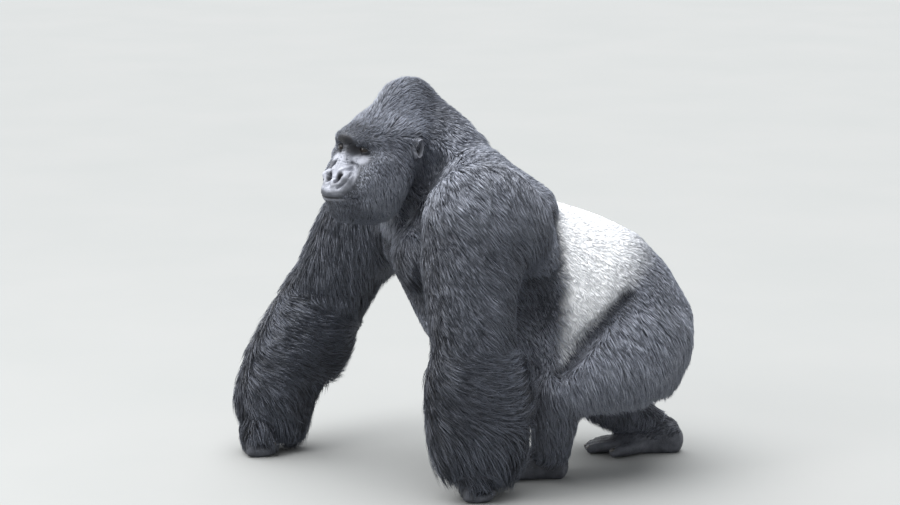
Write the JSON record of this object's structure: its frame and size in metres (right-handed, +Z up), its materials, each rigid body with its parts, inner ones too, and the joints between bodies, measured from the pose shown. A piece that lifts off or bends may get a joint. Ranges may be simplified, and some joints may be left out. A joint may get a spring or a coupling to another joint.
{
  "type": "gorilla",
  "caption": "Life-size silverback mountain gorilla standing on its knuckles, head turned to its left, mouth closed.",
  "frame": {"origin": "centre of the bounding box at floor level", "axes": "+Z up; the animal heads along -X and its left side faces -Y"},
  "size_m": [1.2176, 0.7696, 1.0605],
  "materials": {
    "coat_black": "blue-black hair, soft sheen",
    "coat_silver": "short silver-grey hair of the saddle",
    "skin": "bare dark grey skin, wrinkled, slightly moist on the nose",
    "eye": "wet dark brown eye"
  },
  "bodies": {
    "root": {"head": "coat_black", "neck": "coat_black", "trunk": "coat_silver", "upper_arm_left": "coat_black", "upper_arm_right": "coat_black", "forearm_left": "coat_black", "forearm_right": "coat_black", "hand_left": "skin", "hand_right": "skin", "thigh_left": "coat_black", "thigh_right": "coat_black", "shin_left": "coat_black", "shin_right": "coat_black", "foot_left": "skin", "foot_right": "skin", "ear_left": "skin", "ear_right": "skin", "eye_left": "eye", "eye_right": "eye"}
  },
  "joints": []
}
